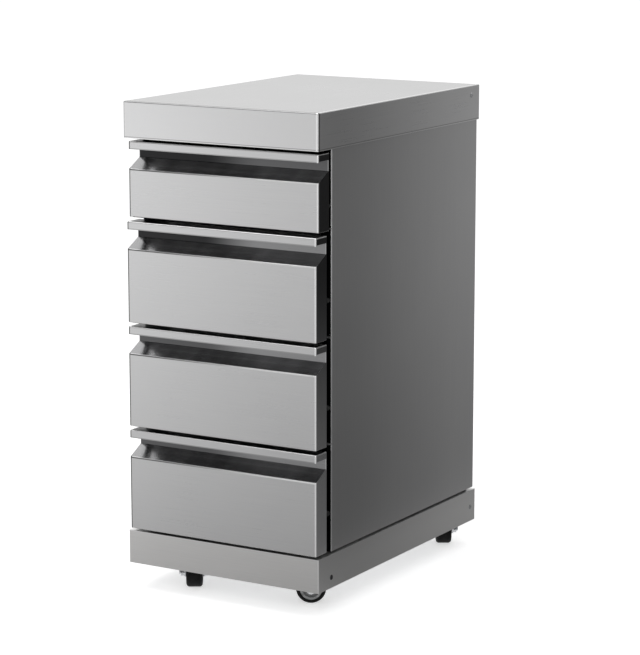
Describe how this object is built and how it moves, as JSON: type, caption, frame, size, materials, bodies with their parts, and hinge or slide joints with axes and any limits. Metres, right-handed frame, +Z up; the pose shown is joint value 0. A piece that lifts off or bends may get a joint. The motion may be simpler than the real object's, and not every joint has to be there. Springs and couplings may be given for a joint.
{
  "type": "outdoor kitchen drawer unit",
  "caption": "Narrow, deep stainless steel outdoor kitchen drawer unit with a worktop, a plinth and casters; the drawers have a finger recess under a folded lip and run on ball-bearing slides.",
  "frame": {"origin": "on the floor under the middle of the unit", "axes": "+X to the unit's right seen from its front, +Y to its back, +Z up"},
  "size_m": [0.4176, 0.614, 0.923],
  "materials": {
    "brushed_steel_top": "fine brushed, grain across the unit",
    "brushed_steel_sides": "fine brushed, grain upright",
    "brushed_steel_plinth": "fine brushed, grain along the plinth",
    "brushed_steel_fronts": "fine brushed, grain across the front",
    "drawer_box_steel": "satin",
    "galvanised_steel": "satin zinc coat",
    "zinc_plated_steel": "bright zinc plate",
    "dark_screw_steel": "dark satin",
    "black_rubber": "matt",
    "grey_nylon": "satin",
    "black_tyre": "satin rubber"
  },
  "bodies": {
    "cabinet": {"countertop": "brushed_steel_top", "counter_stiffeners": "galvanised_steel", "side_panel_left": "brushed_steel_sides", "side_panel_right": "brushed_steel_sides", "back_panel": "brushed_steel_sides", "bottom_panel": "galvanised_steel", "cross_rails": "brushed_steel_sides", "slide_posts": "galvanised_steel", "slide_outer_rails": "zinc_plated_steel", "drawer_bumpers": "black_rubber", "plinth": "brushed_steel_plinth", "base_seal": "black_rubber", "caster_channels": "galvanised_steel", "caster_plates": "zinc_plated_steel", "caster_bolts": "zinc_plated_steel", "panel_screws": "dark_screw_steel"},
    "drawer_1": {"drawer_front_1": "brushed_steel_fronts", "drawer_liner_1": "galvanised_steel", "drawer_box_1": "drawer_box_steel", "front_screws_1": "zinc_plated_steel", "slide_inner_rails_1": "zinc_plated_steel"},
    "slides_1": {"slide_middle_rails_1": "zinc_plated_steel"},
    "drawer_2": {"drawer_front_2": "brushed_steel_fronts", "drawer_liner_2": "galvanised_steel", "drawer_box_2": "drawer_box_steel", "front_screws_2": "zinc_plated_steel", "slide_inner_rails_2": "zinc_plated_steel"},
    "slides_2": {"slide_middle_rails_2": "zinc_plated_steel"},
    "drawer_3": {"drawer_front_3": "brushed_steel_fronts", "drawer_liner_3": "galvanised_steel", "drawer_box_3": "drawer_box_steel", "front_screws_3": "zinc_plated_steel", "slide_inner_rails_3": "zinc_plated_steel"},
    "slides_3": {"slide_middle_rails_3": "zinc_plated_steel"},
    "drawer_4": {"drawer_front_4": "brushed_steel_fronts", "drawer_liner_4": "galvanised_steel", "drawer_box_4": "drawer_box_steel", "front_screws_4": "zinc_plated_steel", "slide_inner_rails_4": "zinc_plated_steel"},
    "slides_4": {"slide_middle_rails_4": "zinc_plated_steel"},
    "caster_front_left": {"caster_fork_front_left": "zinc_plated_steel", "caster_axle_front_left": "zinc_plated_steel"},
    "wheel_front_left": {"wheel_hub_front_left": "grey_nylon", "wheel_tyre_front_left": "black_tyre"},
    "caster_front_right": {"caster_fork_front_right": "zinc_plated_steel", "caster_axle_front_right": "zinc_plated_steel"},
    "wheel_front_right": {"wheel_hub_front_right": "grey_nylon", "wheel_tyre_front_right": "black_tyre"},
    "caster_rear_left": {"caster_fork_rear_left": "zinc_plated_steel", "caster_axle_rear_left": "zinc_plated_steel"},
    "wheel_rear_left": {"wheel_hub_rear_left": "grey_nylon", "wheel_tyre_rear_left": "black_tyre"},
    "caster_rear_right": {"caster_fork_rear_right": "zinc_plated_steel", "caster_axle_rear_right": "zinc_plated_steel"},
    "wheel_rear_right": {"wheel_hub_rear_right": "grey_nylon", "wheel_tyre_rear_right": "black_tyre"}
  },
  "joints": [
    {"name": "drawer_1_slide", "type": "slide", "parent": "cabinet", "child": "drawer_1", "axis": [0, -1, 0], "range_m": [0, 0.45]},
    {"name": "slides_1_slide", "type": "slide", "parent": "cabinet", "child": "slides_1", "axis": [0, -1, 0], "range_m": [0, 0.225]},
    {"name": "drawer_2_slide", "type": "slide", "parent": "cabinet", "child": "drawer_2", "axis": [0, -1, 0], "range_m": [-0.008, 0.442]},
    {"name": "slides_2_slide", "type": "slide", "parent": "cabinet", "child": "slides_2", "axis": [0, -1, 0], "range_m": [-0.004, 0.221]},
    {"name": "drawer_3_slide", "type": "slide", "parent": "cabinet", "child": "drawer_3", "axis": [0, -1, 0], "range_m": [-0.008, 0.442]},
    {"name": "slides_3_slide", "type": "slide", "parent": "cabinet", "child": "slides_3", "axis": [0, -1, 0], "range_m": [-0.004, 0.221]},
    {"name": "drawer_4_slide", "type": "slide", "parent": "cabinet", "child": "drawer_4", "axis": [0, -1, 0], "range_m": [-0.008, 0.442]},
    {"name": "slides_4_slide", "type": "slide", "parent": "cabinet", "child": "slides_4", "axis": [0, -1, 0], "range_m": [-0.004, 0.221]},
    {"name": "caster_front_left_swivel", "type": "hinge", "parent": "cabinet", "child": "caster_front_left", "pos_m": [-0.117, -0.22, 0.078], "axis": [0, 0, 1], "continuous": true},
    {"name": "wheel_front_left_spin", "type": "hinge", "parent": "caster_front_left", "child": "wheel_front_left", "pos_m": [-0.1067, -0.23714, 0.028], "axis": [0.8572, 0.515, 0], "continuous": true},
    {"name": "caster_front_right_swivel", "type": "hinge", "parent": "cabinet", "child": "caster_front_right", "pos_m": [0.117, -0.22, 0.078], "axis": [0, 0, 1], "continuous": true},
    {"name": "wheel_front_right_spin", "type": "hinge", "parent": "caster_front_right", "child": "wheel_front_right", "pos_m": [0.13414, -0.2097, 0.028], "axis": [-0.515, 0.8572, 0], "continuous": true},
    {"name": "caster_rear_left_swivel", "type": "hinge", "parent": "cabinet", "child": "caster_rear_left", "pos_m": [-0.163, 0.26, 0.078], "axis": [0, 0, 1], "continuous": true},
    {"name": "wheel_rear_left_spin", "type": "hinge", "parent": "caster_rear_left", "child": "wheel_rear_left", "pos_m": [-0.14421, 0.26684, 0.028], "axis": [-0.342, 0.9397, 0], "continuous": true},
    {"name": "caster_rear_right_swivel", "type": "hinge", "parent": "cabinet", "child": "caster_rear_right", "pos_m": [0.163, 0.26, 0.078], "axis": [0, 0, 1], "continuous": true},
    {"name": "wheel_rear_right_spin", "type": "hinge", "parent": "caster_rear_right", "child": "wheel_rear_right", "pos_m": [0.1527, 0.27714, 0.028], "axis": [-0.8572, -0.515, 0], "continuous": true}
  ],
  "couplings": [
    {"joint": "slides_1_slide", "follows": "drawer_1_slide", "ratio": 0.5},
    {"joint": "slides_2_slide", "follows": "drawer_2_slide", "ratio": 0.5},
    {"joint": "slides_3_slide", "follows": "drawer_3_slide", "ratio": 0.5},
    {"joint": "slides_4_slide", "follows": "drawer_4_slide", "ratio": 0.5}
  ]
}
